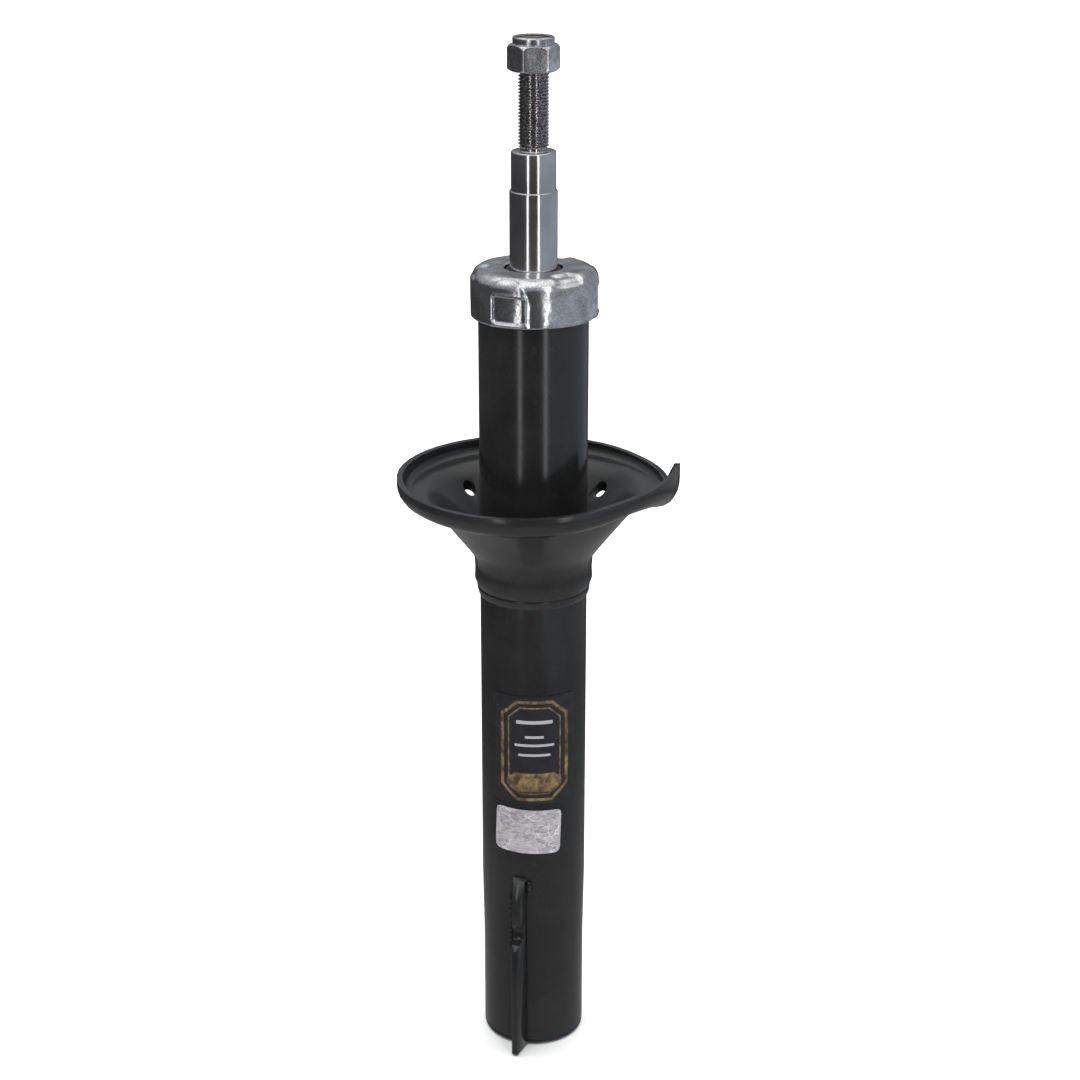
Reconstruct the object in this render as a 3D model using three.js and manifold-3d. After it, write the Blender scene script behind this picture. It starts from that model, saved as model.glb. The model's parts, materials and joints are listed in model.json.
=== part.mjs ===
// Twin-tube MacPherson strut damper: a black tube that clamps into a steering knuckle by its lower end,
// with a welded spring seat, a plated bump cap and a chromed piston rod that ends in a threaded stud and lock nut.
//
// Millimetres, +Z up the strut's axis, +X to the right and -Y to the front. The origin is on the axis, at the
// flat underside of the base cap. The rod stands between full bump and full rebound.
import * as THREE from "three";
import { mergeVertices } from "three/addons/utils/BufferGeometryUtils.js";
import Module from "manifold-3d";

const wasm = await Module();
wasm.setup();

// ---- Driving dimensions ----

const TUBE = { radius: 25.6, wall: 2, clampRadius: 25, clampTop: 53, taperTop: 89, bottom: 2.4, top: 396 };
const LIP = { bend: 4, inner: 17.5 }; // the tube's top edge, spun inwards over the seal

const CYLINDER = { inner: 16, wall: 1.5, bottom: 20, top: 367 };
const TRAVEL = { bump: 30, rebound: 135 }; // how far the rod goes down and up from where it stands
const ROD = { radius: 11, seatRadius: 10.25, stubRadius: 6.98, stepZ: 433.4, shoulderZ: 451.1, endZ: 499.5 };
const PISTON = { radius: 15.7, bottom: 74, top: 93, grooveRadius: 14.2, grooveBottom: 80, grooveTop: 89 };
const RIVET_TOP = 31.5; // the highest point of the base valve
const ROD_FOOT = { radius: 6, bottom: RIVET_TOP + TRAVEL.bump + 1.5, top: 98 }; // the stub that the piston is bolted to

const CAP = { radius: 29.1, sheet: 2, top: 398.2, height: 22.5, bend: 5.5, hole: 13.4 };
const CAP_LUGS = [4, 124, 244]; // azimuths of the three lugs that grip the tube
const CAP_VENTS = [64, 184, 304]; // azimuths of the three air channels pressed into the cap's top

const SEAT = { rim: 64.7, bend: 7, sheet: 2.8, land: 290.2, neck: 28.2, neckBottom: 241.5 };
// The land [azimuth, z]: it climbs with the spring's end coil, then steps down to where the coil's cut end lies.
const LANDS = [[0, 290.2], [268, 290.2], [284, 291.1], [300, 292.9], [315, 295], [322, 294.9], [330, 294.2],
  [338, 291.8], [346, 289.5], [360, 290.2]];
// The rim's top edge [azimuth, z]. It climbs too, and ends at azimuth 0.
const RIM_TOPS = [[0, 293.7], [36, 294.5], [55, 295.7], [90, 296.8], [132, 297.4], [240, 297.6], [270, 298.2],
  [291, 299.4], [308, 301.3], [324, 302.7], [336, 303.6], [347, 304.1], [360, 303.7]];
const RIM_END = { azimuth: 359.25, bend: 9.4, flare: 4.5 }; // the rim's end is a wider fold, flared outwards
const DRAINS = [39, 138]; // azimuths of the drain holes in the seat's cone

const KEY = { azimuth: 255, outer: 36.6, tipWidth: 2.7, rootWidth: 7.2 }; // the key that times the strut in its knuckle
const BOLT_NOTCH = { bottom: 62.7, top: 71.2 }; // the pinch bolt passes through here

const NUT = { flats: 21, bottom: 486.4, hexTop: 498.2, top: 501.6, turn: 36.5 };
const RUNNING_GAP = 0.1;
const GAP = 0.3; // between pieces that are pressed, welded or stacked together

const FINE = 60; // segments round a large turning
const COARSE = 32; // segments round an inner turning

// ---- Materials ----

function material(color, roughness, metalness) {
  return new THREE.MeshStandardMaterial({ color, roughness, metalness });
}

const blackPaint = material(0x161617, 0.38, 0.0);
const barePlate = material(0xa3a7a9, 0.3, 1.0);
const chrome = material(0xc9cacc, 0.08, 1.0);
const zincPlate = material(0xb9bcc0, 0.24, 1.0);
const steel = material(0x8b8c8e, 0.35, 1.0);
const sinteredIron = material(0x55585a, 0.6, 1.0);
const springSteel = material(0x7c7f84, 0.3, 1.0);
const bronze = material(0x9a7b4a, 0.4, 1.0);
const sealRubber = material(0x101011, 0.7, 0.0);
const nylon = material(0x7d7878, 0.5, 0.0);
const bandPlastic = material(0x6b5a3c, 0.45, 0.0);
const labelFilm = material(0x121316, 0.35, 0.0);
const foilFilm = material(0xb4aeb4, 0.25, 1.0);

// ---- Geometry helpers ----

const radians = THREE.MathUtils.degToRad;
const smooth = (x, low, high) => THREE.MathUtils.smoothstep(x, low, high);

// A body turned about Z from [radius, z] points. It starts and ends on the axis, or closes on itself as a ring.
function turned(outline, segments = COARSE) {
  const points = outline.map(([r, z]) => new THREE.Vector2(r, z));
  if (THREE.ShapeUtils.area(points) < 0) points.reverse();
  if (points[0].x > 0) points.push(points[0].clone());
  return new THREE.LatheGeometry(points, segments).rotateX(Math.PI / 2);
}

// A plain washer, disc or sleeve.
function ring(inner, outer, bottom, top, segments = COARSE) {
  return turned([[inner, bottom], [outer, bottom], [outer, top], [inner, top]], segments);
}

// Points of a rounded corner in an outline, by its centre, radius and two angles in degrees.
function corner(centreR, centreZ, radius, from, to, steps = 3) {
  return Array.from({ length: steps + 1 }, (_, i) => {
    const angle = radians(from + ((to - from) * i) / steps);
    return [centreR + radius * Math.cos(angle), centreZ + radius * Math.sin(angle)];
  });
}

// A block between two radii, two heights and two azimuths in degrees.
function sector(inner, outer, bottom, top, from, to) {
  const outline = new THREE.Shape();
  outline.absarc(0, 0, outer, radians(from), radians(to), false);
  outline.absarc(0, 0, inner, radians(to), radians(from), true);
  const curveSegments = Math.ceil((to - from) / 5);
  return new THREE.ExtrudeGeometry(outline, { depth: top - bottom, bevelEnabled: false, curveSegments })
    .translate(0, 0, bottom);
}

// A box by its size and its centre, turned to an azimuth about Z.
function block(size, centre, azimuth = 0) {
  return new THREE.BoxGeometry(...size).translate(...centre).rotateZ(radians(azimuth));
}

// An upright round hole at a radius and azimuth, stretched sideways by `width` times.
function bore(radius, at, azimuth, bottom, top, width = 1) {
  return new THREE.CylinderGeometry(radius, radius, top - bottom, radius > 2 ? 20 : 10)
    .rotateX(Math.PI / 2)
    .scale(1, width, 1)
    .translate(at, 0, (bottom + top) / 2)
    .rotateZ(radians(azimuth));
}

function solid(geometry) {
  const bare = geometry.clone();
  bare.deleteAttribute("normal");
  bare.deleteAttribute("uv");
  const merged = mergeVertices(bare, 1e-3);
  return new wasm.Manifold(
    new wasm.Mesh({
      numProp: 3,
      vertProperties: merged.attributes.position.array,
      triVerts: new Uint32Array(merged.index.array),
    }),
  );
}

function surface(manifold) {
  const { vertProperties, triVerts } = manifold.getMesh();
  return new THREE.BufferGeometry()
    .setAttribute("position", new THREE.BufferAttribute(new Float32Array(vertProperties), 3))
    .setIndex(new THREE.BufferAttribute(new Uint32Array(triVerts), 1));
}

// The geometry with every tool taken out of it.
function cut(geometry, tools) {
  return surface(tools.reduce((left, tool) => left.subtract(solid(tool)), solid(geometry)));
}

// A coil of round wire whose radius and height run evenly from one end to the other.
class Coil extends THREE.Curve {
  constructor(radii, heights, turns) {
    super();
    Object.assign(this, { radii, heights, turns });
  }

  getPoint(t, target = new THREE.Vector3()) {
    const radius = THREE.MathUtils.lerp(...this.radii, t);
    const angle = 2 * Math.PI * this.turns * t;
    return target.set(radius * Math.cos(angle), radius * Math.sin(angle), THREE.MathUtils.lerp(...this.heights, t));
  }
}

function coilSpring(radii, heights, turns, wire) {
  const section = new THREE.Shape().absarc(0, 0, wire / 2, 0, 2 * Math.PI, false);
  const extrudePath = new Coil(radii, heights, turns);
  return new THREE.ExtrudeGeometry(section, { steps: Math.round(14 * turns), curveSegments: 3, extrudePath });
}

// A hexagonal prism, chamfered by the turned body that it is cut from.
function hexagonal(flats, outline, turn) {
  const heights = outline.map(([, z]) => z);
  const bottom = Math.min(...heights);
  const top = Math.max(...heights);
  const cornerRadius = flats / 2 / Math.cos(Math.PI / 6);
  const prism = new THREE.CylinderGeometry(cornerRadius, cornerRadius, top - bottom, 6)
    .rotateX(Math.PI / 2)
    .rotateZ(radians(turn))
    .translate(0, 0, (bottom + top) / 2);
  return solid(turned(outline)).intersect(solid(prism));
}

// ---- The barrel: tube, base and seals ----

function strutTube() {
  const innerBend = LIP.bend - TUBE.wall;
  const bendR = TUBE.radius - LIP.bend;
  const bendZ = TUBE.top - LIP.bend;
  return turned(
    [
      [TUBE.clampRadius, TUBE.bottom],
      [TUBE.clampRadius, TUBE.clampTop],
      [TUBE.radius, TUBE.taperTop],
      ...corner(bendR, bendZ, LIP.bend, 0, 90),
      [LIP.inner, TUBE.top],
      [LIP.inner, TUBE.top - TUBE.wall],
      ...corner(bendR, bendZ, innerBend, 90, 0),
      [TUBE.radius - TUBE.wall, TUBE.taperTop],
      [TUBE.clampRadius - TUBE.wall, TUBE.clampTop],
      [TUBE.clampRadius - TUBE.wall, TUBE.bottom],
    ],
    FINE,
  );
}

// A pressed cup, pushed into the tube's lower end with its flat floor outwards.
function baseCap() {
  const wallOuter = TUBE.clampRadius - TUBE.wall - GAP;
  const wallInner = wallOuter - 1.8;
  return turned([
    [0, 0],
    [19.5, 0],
    [wallOuter, 1.4],
    [wallOuter, 12],
    [wallInner, 12],
    [wallInner, 3.6],
    [19.8, 3],
    [0, 3],
  ]);
}

// The weld that closes the tube's lower edge onto the base cap.
function baseWeld() {
  const inner = TUBE.clampRadius - TUBE.wall;
  const outer = TUBE.clampRadius;
  const top = TUBE.bottom - GAP;
  return turned([[inner, 0.3], [outer - 0.7, 0.3], [outer, 1], [outer, top], [inner, top]], FINE);
}

const BASE_VALVE = { top: 25, flange: 19.9, floor: 12, foot: 3.1, bore: 3.1, skirtInner: 13, skirtOuter: 19.5 };

// The body that closes the pressure tube's foot: an open skirt below, ports through its deck.
function baseValveBody() {
  const v = BASE_VALVE;
  const spigot = CYLINDER.inner - RUNNING_GAP;
  const body = turned([
    [v.skirtOuter, v.foot],
    [v.skirtOuter, v.flange],
    [spigot, v.flange],
    [spigot, v.top],
    [v.bore, v.top],
    [v.bore, v.floor],
    [v.skirtInner, v.floor],
    [v.skirtInner, v.foot],
  ]);
  const skirtSlots = [0, 90].map((azimuth) => block([44, 7, 5], [0, 0, v.foot + 2], azimuth));
  const ports = [0, 60, 120, 180, 240, 300].flatMap((azimuth) => [
    bore(1.3, 7.6, azimuth, v.floor - 1, v.top + 1),
    bore(1.1, 11.4, azimuth + 30, v.floor - 1, v.top + 1),
  ]);
  return cut(body, [...skirtSlots, ...ports]);
}

function baseValveRivet() {
  return turned([[0, 8], [4.6, 8], [5.2, 8.6], [5.2, 10.4], [3, 10.4], [3, 30], [8.2, 30], [8.2, 31], [7.6, RIVET_TOP], [0, RIVET_TOP]]);
}

const GUIDE = { spigotBottom: 355, shoulder: 367.2, top: 382, bore: 12.9, radius: 23.3 };

// The sintered guide that centres the rod and closes the pressure tube, with drain bores back to the reservoir.
function rodGuide() {
  const recessFloor = 376;
  const recess = 20.4;
  const body = turned([
    [GUIDE.bore, GUIDE.spigotBottom],
    [CYLINDER.inner - RUNNING_GAP, GUIDE.spigotBottom],
    [CYLINDER.inner - RUNNING_GAP, GUIDE.shoulder],
    [18.6, GUIDE.shoulder],
    [GUIDE.radius, GUIDE.shoulder + 4],
    [GUIDE.radius, GUIDE.top],
    [recess, GUIDE.top],
    [recess, recessFloor],
    [GUIDE.bore, recessFloor],
  ]);
  return cut(body, [30, 150, 270].map((azimuth) => bore(1.2, 19, azimuth, GUIDE.shoulder - 2, recessFloor + 1)));
}

// The rod seal: an oil lip below its steel washer, a clamped collar above it and a dust lip that shows in the cap's hole.
function rodSeal() {
  const lip = ROD.radius + 0.12;
  return turned([
    [lip, 379],
    [12.6, 378.4],
    [12.8, 384.3],
    [21.2, 384.3],
    [21.2, 391],
    [20.4, 393.7],
    [15.5, 393.7],
    [14, 392],
    [12.5, 397.2],
    [lip, 396.6],
    [lip, 393.6],
    [11.9, 389],
    [lip, 384.6],
  ]);
}

// ---- Bump cap and spring seat ----

// A plated steel cup over the tube's top. Three lugs grip the tube and three shallow channels let air out.
function bumpCap() {
  const { radius, sheet, top, height, bend, hole } = CAP;
  const bottom = top - height;
  const cup = turned(
    [
      [radius, bottom],
      ...corner(radius - bend, top - bend, bend, 0, 90),
      [hole, top],
      [hole, top - sheet],
      ...corner(radius - bend, top - bend, bend - sheet, 90, 0),
      [radius - sheet, bottom],
    ],
    FINE,
  );
  const halfLug = 17;
  let shaped = solid(cup);
  for (const azimuth of CAP_LUGS) {
    const [from, to] = [azimuth - halfLug, azimuth + halfLug];
    shaped = shaped
      .add(solid(sector(TUBE.radius + GAP, radius - 1, bottom + 3.5, top - 8, from, to)))
      .subtract(solid(sector(radius - 0.8, radius + 2, bottom + 3.5, top - 8, from, to)))
      .add(solid(sector(radius - 1, radius + 0.7, bottom, bottom + 2, from, to)));
  }
  for (const azimuth of CAP_VENTS) {
    shaped = shaped.subtract(solid(block([18, 6, 1.6], [24, 0, top], azimuth)));
  }
  return surface(shaped);
}

// The pressing's section at an azimuth: up its underside from the neck to the rim, and back down its upper side.
function seatSection(azimuth) {
  const { sheet, neck, neckBottom } = SEAT;
  const inner = TUBE.radius + GAP;
  const land = along(LANDS, azimuth);
  const under = land - sheet;
  const rim = SEAT.rim + RIM_END.flare * smooth(azimuth, 300, RIM_END.azimuth);
  const rimTop = along(RIM_TOPS, azimuth);
  const fold = THREE.MathUtils.lerp(SEAT.bend, RIM_END.bend, smooth(azimuth, 300, 345));
  const bend = Math.min(fold, rimTop - under - 0.5);
  return [
    [inner, neckBottom],
    [inner + 0.2, neckBottom],
    [inner + 1, 243.4],
    [neck, 246.8],
    [neck - 0.2, 252],
    [neck + 0.3, 258.6],
    [31.4, 262.8],
    [38.2, 271.6],
    [47.2, 283],
    [51.5, under - 0.6],
    [54.5, under],
    ...corner(rim - bend, under + bend, bend, -90, 0, 4),
    [rim, rimTop],
    [rim - sheet, rimTop],
    ...corner(rim - bend, under + bend, bend - sheet, 0, -90, 4),
    [52, land],
    [49.4, land - 0.8],
    [45.2, 285.4],
    [36.2, 273.6],
    [29.2, 264.8],
    [inner + 0.8, 260.2],
    [inner, 257],
  ];
}

// The value at x of a line through [x, value] points.
function along(points, x) {
  const i = Math.max(1, points.findIndex(([at]) => at >= x));
  const [[x0, v0], [x1, v1]] = [points[i - 1], points[i]];
  return THREE.MathUtils.mapLinear(x, x0, x1, v0, v1);
}

function springSeat() {
  const evenSteps = Array.from({ length: 49 }, (_, i) => 7.2 * (i + 1));
  const azimuths = [360 - RIM_END.azimuth, ...evenSteps, RIM_END.azimuth];
  const count = seatSection(0).length;
  const positions = azimuths.flatMap((azimuth) =>
    seatSection(azimuth).flatMap(([r, z]) => [r * Math.cos(radians(azimuth)), r * Math.sin(radians(azimuth)), z]),
  );
  const index = azimuths.flatMap((_, i) => {
    const here = i * count;
    const next = ((i + 1) % azimuths.length) * count;
    return Array.from({ length: count }, (_, j) => {
      const k = (j + 1) % count;
      return [here + j, next + j, next + k, here + j, next + k, here + k];
    }).flat();
  });
  const pan = new THREE.BufferGeometry()
    .setAttribute("position", new THREE.Float32BufferAttribute(positions, 3))
    .setIndex(index);
  return cut(pan, DRAINS.map((azimuth) => bore(2.5, 42, azimuth, 270, 292, 1.4)));
}

// The fillet that seals the neck's foot to the tube.
function seatWeld() {
  const inner = TUBE.radius + GAP;
  const top = SEAT.neckBottom - GAP;
  return turned([[inner, top - 2.2], [inner + 0.3, top - 1.8], [inner + 1, top], [inner, top]], FINE);
}

// ---- Locating key ----

// The key's side view [radius, z]: full depth below the pinch bolt's notch, shallower and rounded off above it.
function keySide() {
  const root = TUBE.clampRadius + GAP;
  const upperRoot = TUBE.radius + GAP;
  const { outer } = KEY;
  return [
    [root, 0.3],
    [outer - 0.6, 0.3],
    [outer, 0.9],
    [outer, BOLT_NOTCH.bottom - 2.4],
    [outer - 2, BOLT_NOTCH.bottom],
    [29.2, BOLT_NOTCH.bottom],
    [28.6, BOLT_NOTCH.bottom + 1],
    [28.6, BOLT_NOTCH.top - 1],
    [29.2, BOLT_NOTCH.top],
    [32.4, BOLT_NOTCH.top],
    [33.4, BOLT_NOTCH.top + 1.4],
    [33.2, 86],
    [31.6, 91],
    [28.8, 94.6],
    [upperRoot, 96.4],
    [upperRoot, TUBE.taperTop + 1],
    [root, TUBE.clampTop - 1],
  ];
}

function polygon(points) {
  return new THREE.Shape(points.map(([x, y]) => new THREE.Vector2(x, y)));
}

// The side view given thickness, then narrowed to a taper in plan.
function locatingKey() {
  const width = KEY.rootWidth + 2;
  const side = new THREE.ExtrudeGeometry(polygon(keySide()), { depth: width, bevelEnabled: false })
    .rotateX(Math.PI / 2)
    .translate(0, width / 2, 0);
  const root = TUBE.clampRadius;
  const [halfRoot, halfTip] = [KEY.rootWidth / 2, KEY.tipWidth / 2];
  const tip = KEY.outer + 1;
  const plan = polygon([[root, -halfRoot], [tip, -halfTip], [tip, halfTip], [root, halfRoot]]);
  const taper = new THREE.ExtrudeGeometry(plan, { depth: 110, bevelEnabled: false }).translate(0, 0, -5);
  return surface(solid(side).intersect(solid(taper))).rotateZ(radians(KEY.azimuth));
}

// A bead in the corner between the tube and one flank of the key; side is 1 or -1.
function keyWeld(side, bottom, top) {
  const bead = polygon([[25.75, 3.8], [27.7, 3.4], [27.4, 4.5], [26.4, 5.5], [25.3, 6.1]]);
  const made = new THREE.ExtrudeGeometry(bead, { depth: top - bottom, bevelEnabled: false }).translate(0, 0, bottom);
  const placed = side > 0 ? made : mirrored(made);
  return placed.rotateZ(radians(KEY.azimuth));
}

// The geometry reflected in the XZ plane, with its faces turned to point outwards again.
function mirrored(geometry) {
  return surface(solid(geometry).mirror([0, 1, 0]));
}

// ---- Piston, valves and rod ----

function pistonRod() {
  const chamfer = 0.8;
  return turned(
    [
      [0, ROD_FOOT.bottom],
      [ROD_FOOT.radius - chamfer, ROD_FOOT.bottom],
      [ROD_FOOT.radius, ROD_FOOT.bottom + chamfer],
      [ROD_FOOT.radius, ROD_FOOT.top],
      [ROD.radius, ROD_FOOT.top],
      [ROD.radius, ROD.stepZ - 0.5],
      [ROD.radius - 0.5, ROD.stepZ],
      [ROD.seatRadius, ROD.stepZ],
      [ROD.seatRadius, ROD.shoulderZ - chamfer],
      [ROD.seatRadius - chamfer, ROD.shoulderZ],
      [ROD.stubRadius - 0.7, ROD.shoulderZ],
      [ROD.stubRadius - 0.9, ROD.shoulderZ + 0.4],
      [ROD.stubRadius - 0.9, ROD.shoulderZ + 2.3],
      [ROD.stubRadius, ROD.shoulderZ + 3.2],
      [ROD.stubRadius, ROD.endZ - 1.2],
      [ROD.stubRadius - 1.1, ROD.endZ],
      [0, ROD.endZ],
    ],
    COARSE,
  );
}

function piston() {
  const inner = ROD_FOOT.radius + RUNNING_GAP;
  const { radius, bottom, top, grooveRadius, grooveBottom, grooveTop } = PISTON;
  const body = turned([
    [inner, bottom],
    [radius - 1, bottom],
    [radius, bottom + 1],
    [radius, grooveBottom],
    [grooveRadius, grooveBottom],
    [grooveRadius, grooveTop],
    [radius, grooveTop],
    [radius, top - 1],
    [radius - 1, top],
    [inner, top],
  ]);
  const ports = [0, 60, 120, 180, 240, 300].flatMap((azimuth) => [
    bore(1.2, 8.8, azimuth, bottom - 1, top + 1),
    bore(1.3, 12, azimuth + 30, bottom - 1, top + 1),
  ]);
  return cut(body, ports);
}

// A stack of shims that get smaller away from the piston.
function shimStack(inner, radii, from, step) {
  const faces = radii.map((_, i) => from + i * step);
  const outline = radii.flatMap((radius, i) => [[radius, faces[i]], [radius, faces[i] + step]]);
  return turned([[inner, from], ...outline, [inner, from + radii.length * step]]);
}

function pistonNut() {
  const shape = [[0, 63], [8.6, 63], [9.9, 63.8], [9.9, 70.6], [8.6, 71.4], [0, 71.4]];
  const hole = turned([[0, 62], [ROD_FOOT.radius + RUNNING_GAP, 62], [ROD_FOOT.radius + RUNNING_GAP, 73], [0, 73]]);
  return surface(hexagonal(17, shape, 0).subtract(solid(hole)));
}

// The stop ring and the bumper on it meet the rod guide's foot at full rebound.
const BUMPER = { top: GUIDE.spigotBottom - TRAVEL.rebound - 0.4, height: 7.6, radius: 15 };

function reboundBumper() {
  const inner = ROD.radius + RUNNING_GAP;
  const { top, height, radius } = BUMPER;
  const bottom = top - height;
  return turned([[inner, bottom], [radius, bottom], [radius, top - 2.2], [radius - 1.2, top], [inner, top]]);
}

function reboundStopRing() {
  const top = BUMPER.top - BUMPER.height - 0.2;
  return ring(ROD.radius + RUNNING_GAP, BUMPER.radius, top - 5.8, top);
}

// ---- Lock nut ----

// A hexagon with a turned collar on top, which holds a nylon ring that grips the thread.
function lockNut() {
  const { flats, bottom, hexTop, top, turn } = NUT;
  const across = flats / 2 / Math.cos(Math.PI / 6);
  const hexShape = [[0, bottom], [9.9, bottom], [across, bottom + 1.2], [across, hexTop - 1.3], [10.2, hexTop], [0, hexTop]];
  const collar = turned([[0, hexTop - 1], [9.5, hexTop - 1], [9.45, top - 1.4], [9, top - 0.3], [8.5, top], [0, top]]);
  const boreRadius = ROD.stubRadius + 0.2;
  const passage = turned([
    [0, bottom - 1],
    [boreRadius + 1, bottom - 1],
    [boreRadius, bottom + 0.9],
    [boreRadius, INSERT.bottom - GAP],
    [INSERT.outer + GAP, INSERT.bottom - GAP],
    [INSERT.outer + GAP, top - 1],
    [INSERT.outer - 0.5, top + 1],
    [0, top + 1],
  ]);
  return surface(hexagonal(flats, hexShape, turn).add(solid(collar)).subtract(solid(passage)));
}

const INSERT = { inner: ROD.stubRadius + 0.2, outer: 8.3, bottom: 497.6, top: 500.3 };

// ---- Labels, wrapped on the tube's front ----

const LABEL = { inner: TUBE.radius + 0.15, film: 0.2, round: 3 };
const SPEC_LABEL = { centre: [0.4, 165.4], width: 39, height: 57.4, tilt: 0 };
const FOIL_LABEL = { centre: [-2.5, 121.6], width: 31.6, height: 23.6, tilt: -1.7 };

// A film with rounded corners, by its centre [x, z] and its size as seen from the front.
function label({ centre, width, height, tilt }) {
  const { inner, film, round } = LABEL;
  const [w, h] = [width / 2, height / 2];
  const [x, z] = centre;
  const outline = new THREE.Shape()
    .moveTo(-w + round, -h)
    .lineTo(w - round, -h)
    .quadraticCurveTo(w, -h, w, -h + round)
    .lineTo(w, h - round)
    .quadraticCurveTo(w, h, w - round, h)
    .lineTo(-w + round, h)
    .quadraticCurveTo(-w, h, -w, h - round)
    .lineTo(-w, -h + round)
    .quadraticCurveTo(-w, -h, -w + round, -h);
  const face = new THREE.ExtrudeGeometry(outline, { depth: 30, bevelEnabled: false, curveSegments: 3 })
    .rotateZ(radians(tilt))
    .rotateX(Math.PI / 2)
    .translate(x, 0, z);
  const sleeve = ring(inner, inner + film, z - height, z + height, FINE);
  return surface(solid(sleeve).intersect(solid(face)));
}

// ---- Assembly ----

const strut = new THREE.Group();

function add(name, geometry, look) {
  const mesh = new THREE.Mesh(geometry, look);
  mesh.name = name;
  strut.add(mesh);
}

add("strut_tube", strutTube(), blackPaint);
add("base_cap", baseCap(), blackPaint);
add("base_weld", baseWeld(), blackPaint);
add("pressure_tube", ring(CYLINDER.inner, CYLINDER.inner + CYLINDER.wall, CYLINDER.bottom, CYLINDER.top), steel);
add("base_valve_body", baseValveBody(), sinteredIron);
add("base_valve_shims", ring(BASE_VALVE.bore, 9.6, 10.6, BASE_VALVE.floor - 0.1), springSteel);
add("intake_check_disc", ring(9.2, 14.2, BASE_VALVE.top + 0.1, BASE_VALVE.top + 0.7), springSteel);
add("intake_spring", coilSpring([12.6, 6.4], [26.4, 29.3], 3, 1), springSteel);
add("base_valve_rivet", baseValveRivet(), steel);
add("rod_guide", rodGuide(), sinteredIron);
add("guide_bushing", ring(ROD.radius + RUNNING_GAP, GUIDE.bore - 0.1, 355.6, 375.6), bronze);
add("seal_washer", ring(13, GUIDE.radius, 382.2, 384.2), steel);
add("rod_seal", rodSeal(), sealRubber);
add("garter_spring", new THREE.TorusGeometry(13.4, 0.55, 6, COARSE).translate(0, 0, 380), springSteel);
add("bump_cap", bumpCap(), barePlate);
add("spring_seat", springSeat(), blackPaint);
add("seat_weld", seatWeld(), blackPaint);
add("locating_key", locatingKey(), blackPaint);
add("key_weld_left", keyWeld(-1, 49, 88), blackPaint);
add("key_weld_right", keyWeld(1, 86, 95), blackPaint);
add("spec_label", label(SPEC_LABEL), labelFilm);
add("foil_label", label(FOIL_LABEL), foilFilm);

add("piston_band", ring(14.4, 15.9, PISTON.grooveBottom + 0.15, PISTON.grooveTop - 0.15), bandPlastic);
add("piston_rod", pistonRod(), chrome);
add("piston", piston(), sinteredIron);
add("piston_check_disc", ring(10.4, 14.2, 93.1, 93.7), springSteel);
add("piston_check_spring", coilSpring([12.4, 9.6], [94.3, 95.7], 1.5, 0.8), springSteel);
add("backing_washer", ring(ROD_FOOT.radius + RUNNING_GAP, 13.5, 96.3, 97.9), steel);
add("rebound_shims", shimStack(ROD_FOOT.radius + RUNNING_GAP, [7.6, 8.5, 9.4, 10.3], 71.6, 0.55), springSteel);
add("piston_nut", pistonNut(), steel);
add("rebound_stop_ring", reboundStopRing(), steel);
add("rebound_bumper", reboundBumper(), sealRubber);

add("lock_nut_insert", ring(INSERT.inner, INSERT.outer, INSERT.bottom, INSERT.top), nylon);
add("lock_nut", lockNut(), zincPlate);

export default strut;
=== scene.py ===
"""Looks for the strut damper: materials, detailed pieces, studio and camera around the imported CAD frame.

The scene is in metres in the row frame: +Z up the strut's axis, -Y towards the viewer, +X to the right.
"""

import json
import math

import bmesh
import bpy
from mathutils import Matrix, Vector, noise


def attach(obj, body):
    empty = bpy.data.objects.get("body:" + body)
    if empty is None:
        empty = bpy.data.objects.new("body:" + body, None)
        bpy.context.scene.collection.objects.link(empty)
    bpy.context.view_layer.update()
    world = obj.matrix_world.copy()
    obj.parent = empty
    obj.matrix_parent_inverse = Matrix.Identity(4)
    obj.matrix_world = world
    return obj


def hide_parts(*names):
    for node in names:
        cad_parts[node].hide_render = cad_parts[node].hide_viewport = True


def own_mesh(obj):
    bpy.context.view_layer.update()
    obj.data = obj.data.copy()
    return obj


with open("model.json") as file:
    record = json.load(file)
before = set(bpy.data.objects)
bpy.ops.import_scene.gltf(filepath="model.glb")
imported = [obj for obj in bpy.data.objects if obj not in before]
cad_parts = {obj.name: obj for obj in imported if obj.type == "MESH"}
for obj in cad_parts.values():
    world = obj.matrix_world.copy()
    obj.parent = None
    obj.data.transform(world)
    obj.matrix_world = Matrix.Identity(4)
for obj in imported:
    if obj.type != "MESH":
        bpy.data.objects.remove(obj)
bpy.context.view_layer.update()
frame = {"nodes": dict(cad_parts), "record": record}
MM = 0.001


# ---------------------------------------------------------------- node helpers


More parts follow.
